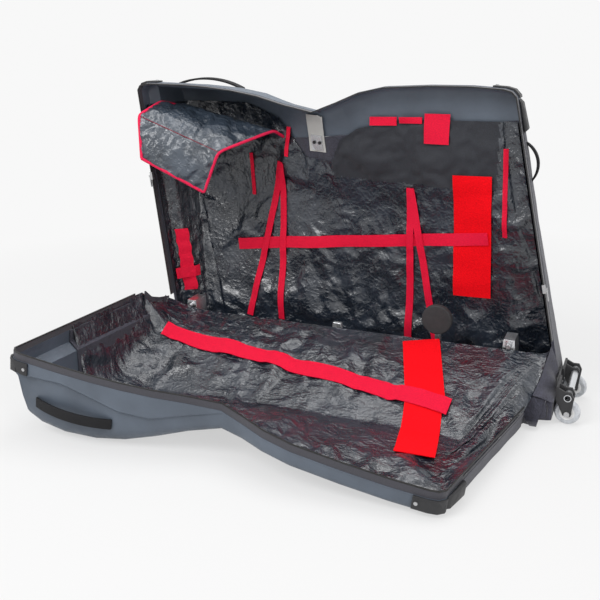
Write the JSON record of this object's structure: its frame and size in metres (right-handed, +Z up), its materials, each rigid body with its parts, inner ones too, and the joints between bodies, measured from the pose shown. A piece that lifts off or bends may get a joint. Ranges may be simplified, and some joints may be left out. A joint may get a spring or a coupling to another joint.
{
  "type": "bike travel case",
  "caption": "Clamshell bicycle travel case, hard shell tops on textile sides, standing open with the lid folded down in front, with skate wheels at one end.",
  "frame": {"origin": "middle of the floor under the bounding box of the open case", "axes": "+X along the case towards its wheels, +Y from the lid to the rear half, +Z up"},
  "size_m": [1.3546, 0.9051, 0.8594],
  "materials": {
    "shell_grey": "matte moulded shell",
    "textile_dark": "coarse woven textile with a stiff core",
    "lining_black": "thin glossy coated lining",
    "webbing_red": "woven strap",
    "band_red": "soft loop band",
    "binding_pink": "folded binding tape",
    "flap_grey": "padded textile",
    "tape_dark": "woven zip tape",
    "coil_black": "moulded coil",
    "black_plastic": "moulded, slightly rough",
    "handle_black": "webbing",
    "alloy": "satin extrusion",
    "steel": "plated fastener",
    "wheel_clear": "pale cast skate tyre",
    "hub_white": "moulded hub",
    "pale_plastic": "plain stiffener sheet",
    "pad_black": "soft pad"
  },
  "bodies": {
    "case": {"rear_shell": "shell_grey", "rear_wall": "textile_dark", "rear_zip_tape": "tape_dark", "rear_zip_coil": "coil_black", "rear_lining": "lining_black", "soft_gussets": "textile_dark", "rear_cross_strap": "webbing_red", "rear_loop_band": "band_red", "rear_edge_strip": "webbing_red", "tie_down_front": "webbing_red", "tie_down_rear": "webbing_red", "saddle_strap": "webbing_red", "daisy_chain": "webbing_red", "daisy_strap": "webbing_red", "flap_straps": "webbing_red", "rear_corner_bumpers": "black_plastic", "rear_bumper_screws": "steel", "rear_end_foot": "black_plastic", "rear_carry_handle": "handle_black", "rear_end_loop": "handle_black", "waist_plate": "pale_plastic", "waist_bracket": "alloy", "waist_screws": "black_plastic", "base_tray": "black_plastic", "base_sill": "textile_dark", "base_runners": "black_plastic", "stand_rail": "alloy", "fork_mount": "alloy", "dropout_mount": "alloy", "stand_axles": "steel", "stand_post": "alloy", "pad_post": "alloy", "hub_pad": "pad_black", "stand_bolts": "steel", "end_plate": "black_plastic", "wheel_brackets": "black_plastic", "axle_tube": "alloy", "wheel_bolts": "steel"},
    "lid": {"lid_shell": "shell_grey", "lid_wall": "textile_dark", "lid_zip_tape": "tape_dark", "lid_zip_coil": "coil_black", "lid_lining": "lining_black", "lid_cross_strap": "webbing_red", "lid_loop_band": "band_red", "lid_corner_bumpers": "black_plastic", "lid_bumper_screws": "steel", "lid_end_foot": "black_plastic", "lid_carry_handle": "handle_black"},
    "near_wheel": {"near_wheel_tyre": "wheel_clear", "near_wheel_hub": "hub_white"},
    "far_wheel": {"far_wheel_tyre": "wheel_clear", "far_wheel_hub": "hub_white"},
    "flap": {"handlebar_flap": "flap_grey", "flap_binding": "binding_pink"},
    "left_slider": {"zip_slider_left": "steel"},
    "right_slider": {"zip_slider_right": "steel"},
    "left_pull": {"zip_pull_left": "steel"},
    "right_pull": {"zip_pull_right": "steel"}
  },
  "joints": [
    {"name": "lid_close", "type": "hinge", "parent": "case", "child": "lid", "pos_m": [0.42528, 0.28231, 0.136], "axis": [0.9942, 0.0825, -0.0696], "range_deg": [-92, 0], "deforming": ["soft_gussets", "lid_lining", "lid_loop_band", "lid_cross_strap"]},
    {"name": "near_wheel_spin", "type": "hinge", "parent": "case", "child": "near_wheel", "pos_m": [0.64428, 0.14931, 0.033], "axis": [0, 1, 0], "continuous": true},
    {"name": "far_wheel_spin", "type": "hinge", "parent": "case", "child": "far_wheel", "pos_m": [0.64428, 0.32531, 0.033], "axis": [0, 1, 0], "continuous": true},
    {"name": "flap_swing", "type": "hinge", "parent": "case", "child": "flap", "pos_m": [-0.56544, 0.41525, 0.75082], "axis": [0.9721, -0.0979, -0.2134], "range_deg": [0, 16]},
    {"name": "left_slider_run", "type": "slide", "parent": "case", "child": "left_slider", "axis": [-0.1242, 0, 0.9923], "range_m": [-0.33, 0.2]},
    {"name": "right_slider_run", "type": "slide", "parent": "case", "child": "right_slider", "axis": [-0.1937, 0, 0.9811], "range_m": [-0.09, 0.36]},
    {"name": "left_pull_swing", "type": "hinge", "parent": "left_slider", "child": "left_pull", "pos_m": [-0.64344, 0.23731, 0.56547], "axis": [0, 1, 0], "range_deg": [0, 150]},
    {"name": "right_pull_swing", "type": "hinge", "parent": "right_slider", "child": "right_pull", "pos_m": [0.56216, 0.23731, 0.33083], "axis": [0, 1, 0], "range_deg": [-150, 0]}
  ]
}
